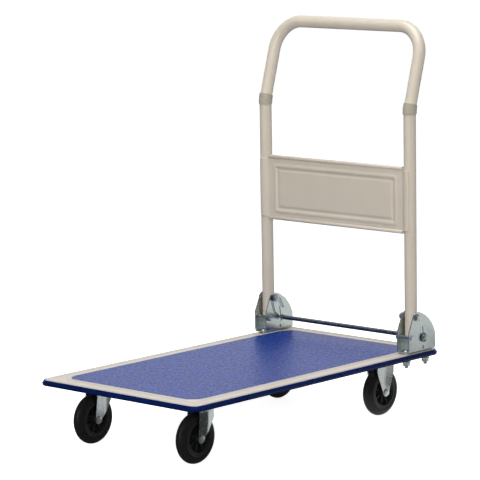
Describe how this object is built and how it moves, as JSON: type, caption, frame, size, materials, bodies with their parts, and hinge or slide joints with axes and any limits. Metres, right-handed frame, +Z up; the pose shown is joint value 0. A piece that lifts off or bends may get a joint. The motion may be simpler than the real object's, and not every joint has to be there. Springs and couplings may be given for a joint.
{
  "type": "folding platform cart",
  "caption": "Folding platform cart: flat pressed-steel deck with vinyl mat and edge bumper, swivel and fixed casters, and a tubular handle that unlocks with a foot bar and folds onto the deck.",
  "frame": {"origin": "on the floor under the middle of the deck", "axes": "+Z up; the handle stands at +Y and folds towards -Y; X is across the deck"},
  "size_m": [0.4382, 0.74, 0.8063],
  "materials": {
    "deck_paint": "satin powder coat, light beige",
    "handle_paint": "satin powder coat, warm beige",
    "mat_vinyl": "finely textured blue vinyl mat",
    "bumper_vinyl": "glossy navy vinyl edge",
    "zinc_plate": "bright zinc plate, slightly blue",
    "spring_steel": "darker spring steel",
    "tyre_rubber": "matt black rubber",
    "black_plastic": "matt black moulded plastic",
    "grey_plastic": "matt grey moulded plastic"
  },
  "bodies": {
    "deck": {"deck_plate": "deck_paint", "deck_mat": "mat_vinyl", "edge_bumper": "bumper_vinyl", "cross_beam_front": "deck_paint", "cross_beam_rear": "deck_paint", "deck_stiffener": "deck_paint", "swivel_plate_left": "zinc_plate", "swivel_bearing_left": "spring_steel", "kingpin_left": "zinc_plate", "rigid_fork_left": "zinc_plate", "swivel_plate_right": "zinc_plate", "swivel_bearing_right": "spring_steel", "kingpin_right": "zinc_plate", "rigid_fork_right": "zinc_plate", "hinge_bracket_left": "zinc_plate", "pivot_bolt_left": "zinc_plate", "pivot_nut_left": "zinc_plate", "stop_pin_left": "zinc_plate", "return_spring_left": "spring_steel", "bracket_bolt_front_left": "zinc_plate", "bracket_nut_front_left": "zinc_plate", "bracket_bolt_rear_left": "zinc_plate", "bracket_nut_rear_left": "zinc_plate", "hinge_bracket_right": "zinc_plate", "pivot_bolt_right": "zinc_plate", "pivot_nut_right": "zinc_plate", "stop_pin_right": "zinc_plate", "return_spring_right": "spring_steel", "bracket_bolt_front_right": "zinc_plate", "bracket_nut_front_right": "zinc_plate", "bracket_bolt_rear_right": "zinc_plate", "bracket_nut_rear_right": "zinc_plate", "axle_bolt_rear_left": "zinc_plate", "axle_bolt_rear_right": "zinc_plate"},
    "handle": {"handle_tube": "handle_paint", "handle_panel": "handle_paint", "rest_ring_left": "grey_plastic", "tube_plug_left": "black_plastic", "pivot_sleeve_left": "zinc_plate", "rest_ring_right": "grey_plastic", "tube_plug_right": "black_plastic", "pivot_sleeve_right": "zinc_plate"},
    "release_bar": {"release_rod": "zinc_plate", "release_sleeve": "spring_steel", "rod_nut_left": "zinc_plate", "rod_nut_right": "zinc_plate"},
    "swivel_left": {"swivel_fork_left": "zinc_plate", "axle_bolt_front_left": "zinc_plate"},
    "swivel_right": {"swivel_fork_right": "zinc_plate", "axle_bolt_front_right": "zinc_plate"},
    "wheel_front_left": {"wheel_hub_front_left": "black_plastic", "tyre_front_left": "tyre_rubber"},
    "wheel_front_right": {"wheel_hub_front_right": "black_plastic", "tyre_front_right": "tyre_rubber"},
    "wheel_rear_left": {"wheel_hub_rear_left": "black_plastic", "tyre_rear_left": "tyre_rubber"},
    "wheel_rear_right": {"wheel_hub_rear_right": "black_plastic", "tyre_rear_right": "tyre_rubber"}
  },
  "joints": [
    {"name": "handle_fold", "type": "hinge", "parent": "deck", "child": "handle", "pos_m": [0, 0.2924, 0.206], "axis": [1, 0, 0], "range_deg": [0, 97.8]},
    {"name": "release_press", "type": "slide", "parent": "deck", "child": "release_bar", "axis": [0, 0.1736, -0.9848], "range_m": [0, 0.006], "stiffness_N_per_m": 900, "springref_m": -0.012},
    {"name": "swivel_turn_left", "type": "hinge", "parent": "deck", "child": "swivel_left", "pos_m": [-0.1387, -0.262, 0.107], "axis": [0, 0, 1], "continuous": true},
    {"name": "swivel_turn_right", "type": "hinge", "parent": "deck", "child": "swivel_right", "pos_m": [0.1387, -0.262, 0.107], "axis": [0, 0, 1], "continuous": true},
    {"name": "wheel_spin_front_left", "type": "hinge", "parent": "swivel_left", "child": "wheel_front_left", "pos_m": [-0.1387, -0.292, 0.05], "axis": [1, 0, 0], "continuous": true},
    {"name": "wheel_spin_front_right", "type": "hinge", "parent": "swivel_right", "child": "wheel_front_right", "pos_m": [0.1387, -0.292, 0.05], "axis": [1, 0, 0], "continuous": true},
    {"name": "wheel_spin_rear_left", "type": "hinge", "parent": "deck", "child": "wheel_rear_left", "pos_m": [-0.1387, 0.26, 0.05], "axis": [1, 0, 0], "continuous": true},
    {"name": "wheel_spin_rear_right", "type": "hinge", "parent": "deck", "child": "wheel_rear_right", "pos_m": [0.1387, 0.26, 0.05], "axis": [1, 0, 0], "continuous": true}
  ]
}
